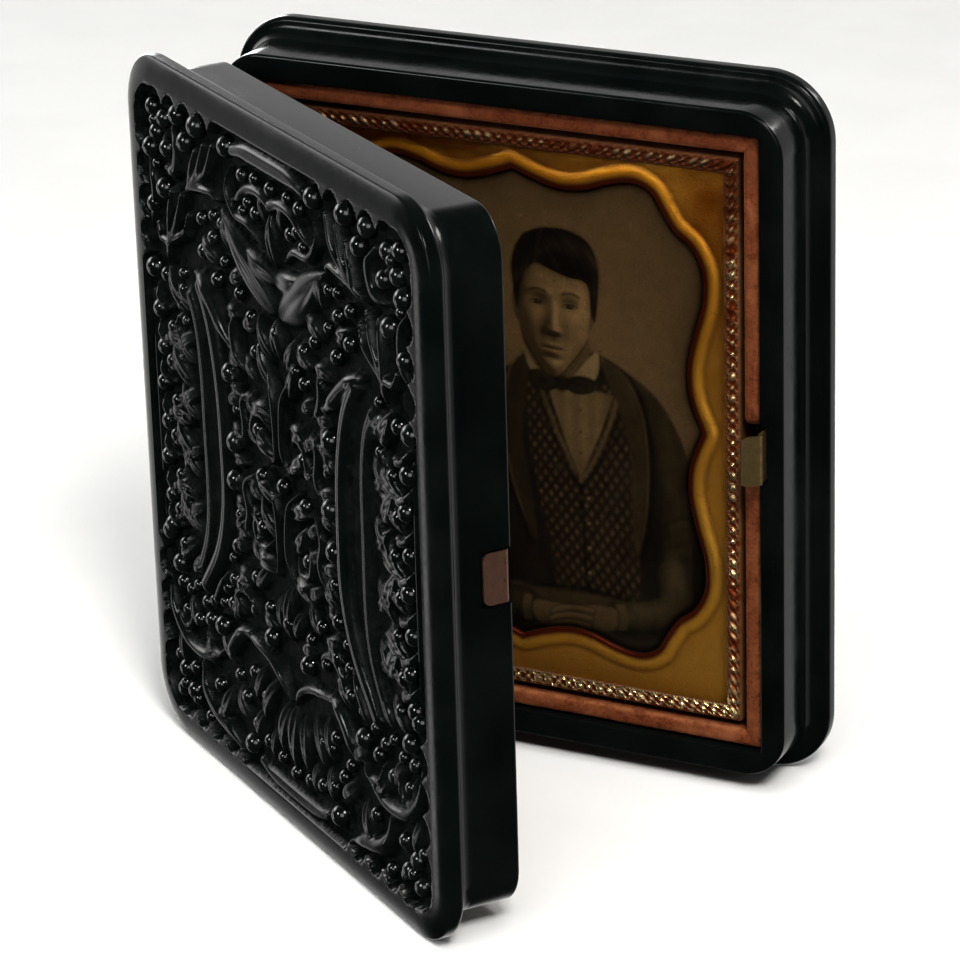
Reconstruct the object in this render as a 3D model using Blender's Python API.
"""Union case: a hinged, moulded photograph case, shown part open and standing on its long edges.

Units in the constants are millimetres; the model is in metres.
Rim frame: x along the tray's width (hinge side at -x), y from the tray's rim plane towards its
back, z up from the plane the case stands on. The part frame is the rim frame moved along y so
that the origin is the middle of the tray's bottom standing edge.
"""

import math

import bmesh
import bpy
from mathutils import Vector

MM = 0.001

# ---- driving dimensions, mm ----
BODY_W = 79.4          # width of a leaf's body, without the bead
CASE_H = 95.0          # height over the bead
BEAD_OUT = 2.6         # the bead stands this far out of the body's wall
BODY_H = CASE_H - 2 * BEAD_OUT
LEAF_D = 11.8          # depth of one leaf, rim plane to outer face
BEAD_T = 2.8           # thickness of the bead
COVE_R = 2.3           # hollow between wall and bead
BODY_R = 6.0           # corner radius of the body
WALL = 3.3             # wall thickness at the rim
FLOOR_T = 4.1          # outer face to the recess floor
FIELD_IN = 4.2         # width of the plain border on the outer face
FIELD_D = 1.6          # depth of the sunk field inside that border
RIM_GAP = 0.15         # each rim stops this far from the closing plane
CAVITY_R = 0.6
CZ = CASE_H / 2
STAND_Y = LEAF_D - BEAD_T / 2

OPEN_DEG = 35.0        # how far the cover stands open
AXIS_OUT = 1.7         # hinge axis, outside the hinge-side wall
AXIS_X = -BODY_W / 2 - AXIS_OUT

HINGE_Z = (21.0, 74.0)  # middle of the lower and the upper hinge
HINGE_L = 17.0
KNUCKLE_R = 1.15
PIN_R = 0.45
PIN_HOLE = 0.76
LEAF_T = 0.45
LEAF_TOP = 0.15        # leaf face to closing plane
LEAF_IN = 2.45         # leaf's inner edge, inside the wall's outer face
RIVET_R = 0.40
RIVET_HOLE = 0.72
RIVET_END = 3.3

GAP = 0.3              # between pieces that lie against each other
FOIL = 0.25
PACK_X, PACK_Z = 66.4, 76.6   # picture packet over its preserver
LIP = 2.2              # preserver's visible border
PACK_Y0 = 1.7          # preserver's front, below the closing plane
GLASS_T = 1.15
MAT_T = 0.25
PLATE_T = 1.1
BACK_T = 0.4
VELVET_T = 2.2
VELVET_Y0 = 0.9

CLASP_HALF = 3.3       # half the width of the clasp's brass
TONGUE_T = 0.4
TONGUE_X = BODY_W / 2 - 2.9   # tongue's inner face
FLEX_Y = 4.0           # where the tongue bends

PAD_Y0 = 1.5
PAD_Y1 = 6.75

FLOOR_Y = LEAF_D - FLOOR_T

# Quarter outline of the mat's window: a cusp at top and side, a lobe by the corner.
WINDOW = [(0.0, 32.3), (3.2, 31.1), (6.8, 30.3), (10.2, 30.6), (13.8, 31.8), (17.0, 32.3),
          (19.5, 31.3), (21.0, 28.9), (22.6, 26.6), (25.0, 24.6), (26.5, 21.4), (26.4, 17.4),
          (25.2, 13.0), (24.3, 8.6), (24.6, 4.4), (26.3, 0.0)]
WINDOW_CX, WINDOW_CZ = 0.6, 0.2


def clear_scene():
    for ob in list(bpy.data.objects):
        bpy.data.objects.remove(ob, do_unlink=True)


def material(name, color, rough, metal=0.0, **more):
    mat = bpy.data.materials.new(name)
    mat.use_nodes = True
    bsdf = mat.node_tree.nodes["Principled BSDF"]
    bsdf.inputs["Base Color"].default_value = (*color, 1.0)
    bsdf.inputs["Roughness"].default_value = rough
    bsdf.inputs["Metallic"].default_value = metal
    for key, value in more.items():
        bsdf.inputs[key.replace("_", " ")].default_value = value
    mat.diffuse_color = (*color, 1.0)
    return mat


def empty(name, x, y, z, turn=0.0):
    ob = bpy.data.objects.new(name, None)
    ob.empty_display_size = 0.01
    ob.location = (x * MM, y * MM, z * MM)
    ob.rotation_euler = (0.0, 0.0, turn)
    bpy.context.scene.collection.objects.link(ob)
    return ob


class Leaf:
    """One leaf of the case: its empty, and how rim coordinates become the leaf's own."""

    def __init__(self, holder, ox, oy, side):
        self.holder, self.ox, self.oy, self.side = holder, ox, oy, side

    def local(self, p):
        # p is (x, depth, z): depth counts from the closing plane into the leaf
        return Vector(((p[0] - self.ox) * MM, (self.side * p[1] - self.oy) * MM, p[2] * MM))


def finish(name, bm, leaf, mat, pivot=None, smooth=35.0):
    """Turn a bmesh given in leaf coordinates (x, depth, z in mm) into the named object."""
    px, pd, pz = pivot if pivot else (leaf.ox, leaf.side * leaf.oy, 0.0)
    base = leaf.local((px, pd, pz))
    for v in bm.verts:
        v.co = leaf.local(v.co) - base
    bm.normal_update()
    bmesh.ops.recalc_face_normals(bm, faces=bm.faces)
    mesh = bpy.data.meshes.new(name)
    bm.to_mesh(mesh)
    bm.free()
    mesh.materials.append(mat)
    mesh.shade_smooth()
    mesh.set_sharp_from_angle(angle=math.radians(smooth))
    ob = bpy.data.objects.new(name, mesh)
    bpy.context.scene.collection.objects.link(ob)
    ob.parent = leaf.holder
    ob.location = base
    return ob


def rounded(hx, hz, r, n, cx=0.0, cz=CZ):
    """Closed outline of a rounded rectangle, n segments to a corner, counter-clockwise in x, z."""
    out = []
    for k, (sx, sz) in enumerate(((1, 1), (-1, 1), (-1, -1), (1, -1))):
        for i in range(n + 1):
            a = math.radians(90 * k + 90 * i / n)
            out.append((cx + sx * (hx - r) + r * math.cos(a), cz + sz * (hz - r) + r * math.sin(a)))
    return out


def stack(bm, loops, closed=False, caps=(False, False)):
    """Join outlines of equal count, each (points in x and z, depth), into a skin."""
    rows = [[bm.verts.new((x, d, z)) for x, z in pts] for pts, d in loops]
    pairs = list(zip(rows, rows[1:]))
    if closed:
        pairs.append((rows[-1], rows[0]))
    for a, b in pairs:
        n = len(a)
        for i in range(n):
            j = (i + 1) % n
            bm.faces.new((a[i], a[j], b[j], b[i]))
    if caps[0]:
        bm.faces.new(rows[0][::-1])
    if caps[1]:
        bm.faces.new(rows[-1])
    return rows


def box(bm, x0, x1, d0, d1, z0, z1):
    geom = bmesh.ops.create_cube(bm, size=1.0)
    for v in geom["verts"]:
        v.co = Vector(((x0 + x1) / 2 + v.co.x * (x1 - x0), (d0 + d1) / 2 + v.co.y * (d1 - d0),
                       (z0 + z1) / 2 + v.co.z * (z1 - z0)))
    return geom["verts"]


def prism_z(bm, pts, z0, z1):
    """Closed solid: an outline in x and depth, run from z0 to z1."""
    lo = [bm.verts.new((x, d, z0)) for x, d in pts]
    hi = [bm.verts.new((x, d, z1)) for x, d in pts]
    n = len(pts)
    for i in range(n):
        j = (i + 1) % n
        bm.faces.new((lo[i], lo[j], hi[j], hi[i]))
    bm.faces.new(lo[::-1])
    bm.faces.new(hi)


def rod(bm, p, q, radii, n=12):
    """Turned solid along p to q: radii is a list of (fraction along, radius)."""
    p, q = Vector(p), Vector(q)
    axis = (q - p).normalized()
    side = axis.orthogonal().normalized()
    other = axis.cross(side)
    rows = []
    for t, r in radii:
        mid = p.lerp(q, t)
        rows.append([bm.verts.new(mid + (side * math.cos(a) + other * math.sin(a)) * r)
                     for a in (2 * math.pi * i / n for i in range(n))])
    for a, b in zip(rows, rows[1:]):
        for i in range(n):
            j = (i + 1) % n
            bm.faces.new((a[i], a[j], b[j], b[i]))
    bm.faces.new(rows[0][::-1])
    bm.faces.new(rows[-1])


def boolean(ob, kind, tools):
    for tool in tools:
        mod = ob.modifiers.new("cut", "BOOLEAN")
        mod.operation = kind
        mod.solver = "EXACT"
        mod.object = tool


def cutter(name, bm, leaf):
    ob = finish(name, bm, leaf, MATS["tool"])
    ob.hide_render = True
    ob.display_type = "WIRE"
    return ob


# ---- the two moulded leaves ----

def leaf_shell(name, leaf, cuts):
    w, h = BODY_W / 2, BODY_H / 2
    n = 7

    def out(o, d):
        return rounded(w + o, h + o, BODY_R + o, n), d

    loops = []
    cav_x, cav_z = w - WALL, h - WALL
    loops.append((rounded(cav_x, cav_z, CAVITY_R, n), FLOOR_Y))
    loops.append((rounded(cav_x, cav_z, CAVITY_R, n), RIM_GAP + 0.25))
    loops.append((rounded(cav_x + 0.25, cav_z + 0.25, CAVITY_R + 0.25, n), RIM_GAP))
    loops.append(out(-0.3, RIM_GAP))
    loops.append(out(0.0, RIM_GAP + 0.3))
    cove_d = LEAF_D - BEAD_T - COVE_R
    for i in range(5):
        a = math.radians(90 * i / 4)
        loops.append(out(COVE_R * (1 - math.cos(a)), cove_d + COVE_R * math.sin(a)))
    nose = 0.95
    mid = LEAF_D - BEAD_T / 2
    loops.append(out(BEAD_OUT - 0.12, mid - nose))
    loops.append(out(BEAD_OUT, mid - 0.45))
    loops.append(out(BEAD_OUT, LEAF_D - 0.3))
    loops.append(out(BEAD_OUT - 0.3, LEAF_D))
    f = BEAD_OUT - FIELD_IN
    loops.append(out(f + 0.6, LEAF_D))
    loops.append(out(f, LEAF_D - FIELD_D))
    bm = bmesh.new()
    stack(bm, loops, caps=(True, True))
    ob = finish(name, bm, leaf, MATS["case"])
    boolean(ob, "DIFFERENCE", cuts)
    return ob


def hinge_cuts(tag, leaf):
    """Slots for the hinge leaves and holes for their rivets."""
    cuts = []
    w = BODY_W / 2
    for k, zc in enumerate(HINGE_Z):
        bm = bmesh.new()
        box(bm, -w - 1.0, -w + LEAF_IN + GAP, -1.0, LEAF_TOP + LEAF_T + GAP,
            zc - HINGE_L / 2 - GAP, zc + HINGE_L / 2 + GAP)
        cuts.append(cutter(f"{tag}_slot_{k}", bm, leaf))
        for m, dz in enumerate((-4.6, 4.6)):
            bm = bmesh.new()
            rod(bm, (-w + 1.15, 0.0, zc + dz), (-w + 1.15, RIVET_END + GAP, zc + dz),
                [(0, RIVET_HOLE), (1, RIVET_HOLE)])
            cuts.append(cutter(f"{tag}_hole_{k}_{m}", bm, leaf))
    return cuts


def tray_cuts(leaf):
    cuts = hinge_cuts("tray", leaf)
    w = BODY_W / 2
    half = CLASP_HALF + 0.35
    bm = bmesh.new()
    box(bm, w - WALL - 1.0, TONGUE_X + TONGUE_T + GAP, -1.0, 5.9, CZ - half, CZ + half)
    cuts.append(cutter("tray_clasp_pocket", bm, leaf))
    for m, dz in enumerate((-1.7, 1.7)):
        bm = bmesh.new()
        rod(bm, (w - WALL, FLEX_Y, CZ + dz), (w - 0.8, FLEX_Y, CZ + dz), [(0, 0.65), (1, 0.65)])
        cuts.append(cutter(f"tray_clasp_hole_{m}", bm, leaf))
    return cuts


def cover_cuts(leaf):
    cuts = hinge_cuts("cover", leaf)
    w = BODY_W / 2
    half = CLASP_HALF + GAP
    # rim notch with sloping ends
    bm = bmesh.new()
    prism = [(CZ - half - 3.4, -1.0), (CZ + half + 3.4, -1.0), (CZ + half + 3.4, 0.1),
             (CZ + half, 1.35), (CZ - half, 1.35), (CZ - half - 3.4, 0.1)]
    lo = [bm.verts.new((w - WALL - 1.0, d, z)) for z, d in prism]
    hi = [bm.verts.new((w + 1.0, d, z)) for z, d in prism]
    for i in range(6):
        j = (i + 1) % 6
        bm.faces.new((lo[i], lo[j], hi[j], hi[i]))
    bm.faces.new(lo[::-1])
    bm.faces.new(hi)
    bmesh.ops.recalc_face_normals(bm, faces=bm.faces)
    cuts.append(cutter("cover_rim_notch", bm, leaf))
    bm = bmesh.new()
    box(bm, w - 0.5, w + 1.0, -1.0, 4.45, CZ - half, CZ + half)
    cuts.append(cutter("cover_outer_seat", bm, leaf))
    bm = bmesh.new()
    box(bm, w - WALL - 1.0, w - 1.3, -1.0, 4.2, CZ - half, CZ + half)
    cuts.append(cutter("cover_inner_seat", bm, leaf))
    return cuts


# ---- hinges ----

def hinge_leaf(name, leaf, zc, spans, others):
    """A brass leaf: a plate in the rim slot, necks, and knuckles over the given z spans."""
    w = BODY_W / 2
    top = LEAF_TOP
    clear_x = AXIS_X + KNUCKLE_R + GAP
    bm = bmesh.new()
    box(bm, clear_x, -w + LEAF_IN, top, top + LEAF_T, zc - HINGE_L / 2, zc + HINGE_L / 2)
    ob = finish(name, bm, leaf, MATS["hinge_brass"], pivot=(AXIS_X, 0.0, 0.0))
    parts = []
    for i, (a, b) in enumerate(spans):
        bm = bmesh.new()
        rod(bm, (AXIS_X, 0, a), (AXIS_X, 0, b), [(0, KNUCKLE_R), (1, KNUCKLE_R)], n=20)
        parts.append(cutter(f"{name}_knuckle_{i}", bm, leaf))
        bm = bmesh.new()
        box(bm, AXIS_X + 0.66, clear_x + 0.4, top, top + LEAF_T, a, b)
        parts.append(cutter(f"{name}_neck_{i}", bm, leaf))
    boolean(ob, "UNION", parts)
    holes = []
    bm = bmesh.new()
    rod(bm, (AXIS_X, 0, zc - HINGE_L), (AXIS_X, 0, zc + HINGE_L), [(0, PIN_HOLE), (1, PIN_HOLE)], n=20)
    holes.append(cutter(f"{name}_bore", bm, leaf))
    for m, dz in enumerate((-4.6, 4.6)):
        bm = bmesh.new()
        rod(bm, (-w + 1.15, -1, zc + dz), (-w + 1.15, 2, zc + dz), [(0, RIVET_HOLE), (1, RIVET_HOLE)])
        holes.append(cutter(f"{name}_rivet_hole_{m}", bm, leaf))
    boolean(ob, "DIFFERENCE", holes)
    return ob


def hinge_set(tag, zc, tray, cover):
    w = BODY_W / 2
    a, b = zc - HINGE_L / 2, zc + HINGE_L / 2
    k = (HINGE_L - 2 * GAP) / 3
    s0, s1, s2 = (a, a + k), (a + k + GAP, b - k - GAP), (b - k, b)
    hinge_leaf(f"{tag}_hinge_tray_leaf", tray, zc, (s0, s2), (s1,))
    hinge_leaf(f"{tag}_hinge_cover_leaf", cover, zc, (s1,), (s0, s2))
    bm = bmesh.new()
    length = HINGE_L + 2 * (GAP + 0.55)
    rod(bm, (AXIS_X, 0, zc - length / 2), (AXIS_X, 0, zc + length / 2),
        [(0, 0.5), (0.012, 0.78), (0.55 / length, 0.85), (0.55 / length, PIN_R),
         (1 - 0.55 / length, PIN_R), (1 - 0.55 / length, 0.85), (0.988, 0.78), (1, 0.5)], n=16)
    finish(f"{tag}_hinge_pin", bm, tray, MATS["pin"], pivot=(AXIS_X, 0.0, zc))
    for leaf, who in ((tray, "tray"), (cover, "cover")):
        for m, dz in (("lower", -4.6), ("upper", 4.6)):
            bm = bmesh.new()
            rod(bm, (-w + 1.15, LEAF_TOP, zc + dz), (-w + 1.15, RIVET_END, zc + dz),
                [(0, RIVET_R - 0.08), (0.03, RIVET_R), (0.9, RIVET_R), (1, RIVET_R * 0.55)])
            finish(f"{tag}_hinge_{who}_rivet_{m}", bm, leaf, MATS["pin"])


# ---- clasp ----

def strip_outline(mid, t):
    """Outline of a bent strip of thickness t along a middle line in x and depth."""
    left, right = [], []
    for i, p in enumerate(mid):
        p = Vector(p)
        if i == 0:
            d = (Vector(mid[1]) - p).normalized()
            nrm, s = Vector((-d.y, d.x)), 1.0
        elif i == len(mid) - 1:
            d = (p - Vector(mid[i - 1])).normalized()
            nrm, s = Vector((-d.y, d.x)), 1.0
        else:
            d0 = (p - Vector(mid[i - 1])).normalized()
            d1 = (Vector(mid[i + 1]) - p).normalized()
            n0, n1 = Vector((-d0.y, d0.x)), Vector((-d1.y, d1.x))
            nrm = (n0 + n1).normalized()
            s = 1.0 / max(0.5, nrm.dot(n0))
        left.append(tuple(p + nrm * (t / 2 * s)))
        right.append(tuple(p - nrm * (t / 2 * s)))
    return left + right[::-1]


def clasp(tray, cover):
    w = BODY_W / 2
    xm = TONGUE_X + TONGUE_T / 2
    mid = [(xm, 5.35), (xm, 2.5), (xm, 0.2), (xm, -0.95), (xm + 0.28, -1.3), (xm + 0.2, -1.7),
           (xm - 0.35, -2.1), (xm - 1.0, -2.65), (xm - 1.7, -3.15)]
    bm = bmesh.new()
    prism_z(bm, strip_outline(mid, TONGUE_T), CZ - CLASP_HALF, CZ + CLASP_HALF)
    tongue = finish("clasp_tongue", bm, tray, MATS["tongue"], pivot=(xm, FLEX_Y, CZ))
    tools = []
    for m, dz in enumerate((-1.7, 1.7)):
        bm = bmesh.new()
        rod(bm, (xm - 1.5, FLEX_Y, CZ + dz), (xm + 1.5, FLEX_Y, CZ + dz), [(0, 0.68), (1, 0.68)])
        tools.append(cutter(f"tongue_hole_{m}", bm, tray))
    # rounded corners at the free end
    for m, s in enumerate((-1, 1)):
        bm = bmesh.new()
        r = 1.1
        zc = CZ + s * CLASP_HALF
        arc = [(xm - 3.2, s * 1.0 + zc), (xm - 3.2, zc - s * r)]
        x0 = xm - 1.88
        for i in range(7):
            a = math.radians(90 * i / 6)
            arc.append((x0 + r - r * math.cos(a), zc - s * r + s * r * math.sin(a)))
        arc.append((x0 + r, zc + s * 1.0))
        lo = [bm.verts.new((x, -4.5, z)) for x, z in arc]
        hi = [bm.verts.new((x, -1.0, z)) for x, z in arc]
        cnt = len(arc)
        for i in range(cnt):
            j = (i + 1) % cnt
            bm.faces.new((lo[i], lo[j], hi[j], hi[i]))
        bm.faces.new(lo[::-1])
        bm.faces.new(hi)
        tools.append(cutter(f"tongue_corner_{m}", bm, tray))
    boolean(tongue, "DIFFERENCE", tools)
    for m, dz in (("lower", -1.7), ("upper", 1.7)):
        bm = bmesh.new()
        x_head = TONGUE_X - GAP
        length = w - 1.15 - (x_head - 0.35)
        f = 0.35 / length
        rod(bm, (x_head - 0.35, FLEX_Y, CZ + dz), (w - 1.15, FLEX_Y, CZ + dz),
            [(0, 0.45), (f * 0.6, 0.85), (f, 0.95), (f, 0.35), (0.93, 0.35), (1, 0.2)])
        finish(f"clasp_tongue_rivet_{m}", bm, tray, MATS["pin"])

    # clip crimped over the cover's rim: outer flap, bridge, inner flap
    xo = w + 0.0
    xi = w - 1.8
    mid = [(xo, 4.1), (xo, 2.2), (xo, 1.05), (xo - 0.3, 0.75), (xi + 0.3, 0.75), (xi, 1.05),
           (xi, 2.2), (xi, 3.8)]
    bm = bmesh.new()
    prism_z(bm, strip_outline(mid, TONGUE_T), CZ - CLASP_HALF, CZ + CLASP_HALF)
    clip = finish("clasp_clip", bm, cover, MATS["clip"])
    tools = []
    for m, s in enumerate((-1, 1)):
        bm = bmesh.new()
        r = 1.0
        zc = CZ + s * CLASP_HALF
        d_end = 4.1
        arc = [(d_end + 0.8, zc + s * 1.0), (d_end + 0.8, zc - s * r), (d_end, zc - s * r)]
        for i in range(1, 7):
            a = math.radians(90 * i / 6)
            arc.append((d_end - r + r * math.cos(a), zc - s * r + s * r * math.sin(a)))
        arc.append((d_end - r, zc + s * 1.0))
        lo = [bm.verts.new((w - 0.6, d, z)) for d, z in arc]
        hi = [bm.verts.new((w + 0.9, d, z)) for d, z in arc]
        cnt = len(arc)
        for i in range(cnt):
            j = (i + 1) % cnt
            bm.faces.new((lo[i], lo[j], hi[j], hi[i]))
        bm.faces.new(lo[::-1])
        bm.faces.new(hi)
        tools.append(cutter(f"clip_corner_{m}", bm, cover))
    boolean(clip, "DIFFERENCE", tools)


# ---- picture packet and linings ----

def plate(name, leaf, mat, hx, hz, r, d0, d1, n=2):
    bm = bmesh.new()
    stack(bm, [(rounded(hx, hz, r, n), d0), (rounded(hx, hz, r, n), d1)], caps=(True, True))
    return finish(name, bm, leaf, mat)


def window_outline(per):
    """The mat's window, smoothed between its quarter's points and mirrored."""
    def smooth(pts):
        out = []
        for i in range(len(pts) - 1):
            p0 = Vector(pts[i - 1]) if i else Vector(pts[0]) * 2 - Vector(pts[1])
            p1, p2 = Vector(pts[i]), Vector(pts[i + 1])
            p3 = Vector(pts[i + 2]) if i + 2 < len(pts) else p2 * 2 - p1
            for k in range(per):
                t = k / per
                out.append(0.5 * ((2 * p1) + (p2 - p0) * t + (2 * p0 - 5 * p1 + 4 * p2 - p3) * t * t
                                  + (3 * p1 - p0 - 3 * p2 + p3) * t ** 3))
        return [(v.x, v.y) for v in out]

    q = smooth(WINDOW)                       # top middle to right middle
    last = WINDOW[-1]
    right = q + [last] + [(x, -z) for x, z in q[:0:-1]]
    ring = right + [(0.0, -WINDOW[0][1])] + [(-x, z) for x, z in right[:0:-1]]
    return ring[::-1]                        # counter-clockwise


def mat_sheet(leaf, hx, hz, d0, d1):
    """Mat: the plate's rectangle with the window through it."""
    ring = window_outline(2)
    inner = [(WINDOW_CX + x, CZ + WINDOW_CZ + z) for x, z in ring]
    outer = []
    for x, z in ring:
        s = min(hx / max(abs(x), 1e-6), hz / max(abs(z), 1e-6))
        outer.append([x * s, CZ + z * s])
    for sx in (-1, 1):
        for sz in (-1, 1):
            corner = (sx * hx, CZ + sz * hz)
            k = min(range(len(outer)), key=lambda i: (outer[i][0] - corner[0]) ** 2 + (outer[i][1] - corner[1]) ** 2)
            outer[k] = list(corner)
    bm = bmesh.new()
    stack(bm, [(outer, d0), (outer, d1), (inner, d1), (inner, d0)], closed=True)
    return finish("brass_mat", bm, leaf, MATS["mat"])


def packet(tray):
    px, pz = PACK_X / 2, PACK_Z / 2
    d = PACK_Y0
    end = d + 2 * FOIL + 5 * GAP + GLASS_T + MAT_T + PLATE_T + BACK_T
    n = 2
    outer = rounded(px, pz, 0.5, n)
    inner = rounded(px - FOIL, pz - FOIL, 0.25, n)
    lip = rounded(px - LIP, pz - LIP, 0.3, n)
    bm = bmesh.new()
    stack(bm, [(outer, d), (outer, end), (lip, end), (lip, end - FOIL), (inner, end - FOIL),
               (inner, d + FOIL), (lip, d + FOIL), (lip, d)], closed=True)
    finish("preserver", bm, tray, MATS["preserver"])
    hx, hz = px - FOIL - GAP, pz - FOIL - GAP
    d += FOIL + GAP
    plate("cover_glass", tray, MATS["glass"], hx, hz, 0.3, d, d + GLASS_T)
    d += GLASS_T + GAP
    mat_sheet(tray, hx, hz, d, d + MAT_T)
    d += MAT_T + GAP
    plate("image_plate", tray, MATS["image"], hx, hz, 0.3, d, d + PLATE_T)
    d += PLATE_T + GAP
    plate("dark_backing", tray, MATS["backing"], hx, hz, 0.3, d, d + BACK_T)
    plate("floor_card", tray, MATS["card"], px - 0.2, pz - 0.2, 0.6, end + GAP, FLOOR_Y - GAP)


def velvet_retainer(tray):
    w, h = BODY_W / 2 - WALL - GAP, BODY_H / 2 - WALL - GAP
    t = VELVET_T
    d0, d1 = VELVET_Y0, FLOOR_Y - GAP
    half = CLASP_HALF + 0.75
    # C-shaped outline: the strip's two ends meet at the clasp
    outer = [(w, -half), (w, -h), (-w, -h), (-w, h), (w, h), (w, half)]
    inner = [(w - t, half), (w - t, h - t), (-w + t, h - t), (-w + t, -h + t), (w - t, -h + t), (w - t, -half)]
    pts = [(x, CZ + z) for x, z in outer + inner]
    bm = bmesh.new()
    lo = [bm.verts.new((x, d1, z)) for x, z in pts]
    e = 0.5
    cx = [(x - math.copysign(e, x) if i < 6 else x + math.copysign(e, x),
           z - math.copysign(e, z - CZ) if (i < 6 and abs(z - CZ) > half + 1) else
           (z + math.copysign(e, z - CZ) if (i >= 6 and abs(z - CZ) > half + 1) else z))
          for i, (x, z) in enumerate(pts)]
    md = [bm.verts.new((x, d0 + e, z)) for x, z in pts]
    hi = [bm.verts.new((x, d0, z)) for x, z in cx]
    n = len(pts)
    for a, b in ((lo, md), (md, hi)):
        for i in range(n):
            j = (i + 1) % n
            bm.faces.new((a[i], a[j], b[j], b[i]))
    # end faces as quads between the outer and the inner line
    for row in (lo, hi):
        for i in range(5):
            bm.faces.new((row[i], row[i + 1], row[10 - i], row[11 - i]))
    finish("velvet_retainer", bm, tray, MATS["velvet"])


def cover_lining(cover):
    w, h = BODY_W / 2 - WALL - GAP, BODY_H / 2 - WALL - GAP
    half = CLASP_HALF + 0.75
    notch = 2.6

    def outline(s):
        return [(w - s, CZ + half), (w - s, CZ + h - s), (-w + s, CZ + h - s), (-w + s, CZ - h + s),
                (w - s, CZ - h + s), (w - s, CZ - half), (w - notch, CZ - half), (w - notch, CZ + half)]

    bm = bmesh.new()
    loops = [(outline(0.0), PAD_Y1), (outline(0.0), PAD_Y0 + 1.6), (outline(0.9), PAD_Y0 + 0.5), (outline(2.4), PAD_Y0)]
    # the notch keeps its depth while the edges draw in
    loops = [([(min(x, w - notch) if i in (6, 7) else x, z) for i, (x, z) in enumerate(p)], d) for p, d in loops]
    stack(bm, loops, caps=(True, True))
    finish("cover_pad", bm, cover, MATS["pad_velvet"], smooth=60)
    bm = bmesh.new()
    stack(bm, [(outline(0.0), PAD_Y1 + GAP), (outline(0.0), FLOOR_Y - GAP)], caps=(True, True))
    finish("pad_card", bm, cover, MATS["card"])


clear_scene()
MATS = {
    "case": material("case", (0.012, 0.015, 0.015), 0.22, Coat_Weight=0.6, Coat_Roughness=0.12),
    "hinge_brass": material("hinge_brass", (0.55, 0.38, 0.16), 0.35, 1.0),
    "pin": material("pin", (0.48, 0.34, 0.16), 0.4, 1.0),
    "tongue": material("tongue", (0.30, 0.24, 0.13), 0.42, 1.0),
    "clip": material("clip", (0.42, 0.25, 0.18), 0.4, 1.0),
    "glass": material("glass", (0.9, 0.92, 0.9), 0.04, 0.0, Transmission_Weight=1.0),
    "mat": material("mat", (0.62, 0.40, 0.10), 0.32, 1.0),
    "image": material("image", (0.16, 0.13, 0.08), 0.3),
    "backing": material("backing", (0.02, 0.02, 0.02), 0.5),
    "preserver": material("preserver", (0.60, 0.36, 0.10), 0.3, 1.0),
    "velvet": material("velvet", (0.42, 0.14, 0.09), 0.9),
    "pad_velvet": material("pad_velvet", (0.36, 0.10, 0.07), 0.9),
    "card": material("card", (0.45, 0.40, 0.32), 0.85),
    "tool": material("tool", (0.5, 0.5, 0.5), 0.5),
}

tray_holder = empty("tray_rim_plane", 0.0, -STAND_Y, 0.0)
cover_holder = empty("cover_hinge_axis", AXIS_X, -STAND_Y, 0.0, -math.radians(OPEN_DEG))
TRAY = Leaf(tray_holder, 0.0, 0.0, 1.0)
COVER = Leaf(cover_holder, AXIS_X, 0.0, -1.0)

leaf_shell("tray_shell", TRAY, tray_cuts(TRAY))
leaf_shell("cover_shell", COVER, cover_cuts(COVER))
hinge_set("lower", HINGE_Z[0], TRAY, COVER)
hinge_set("upper", HINGE_Z[1], TRAY, COVER)
clasp(TRAY, COVER)
packet(TRAY)
velvet_retainer(TRAY)
cover_lining(COVER)
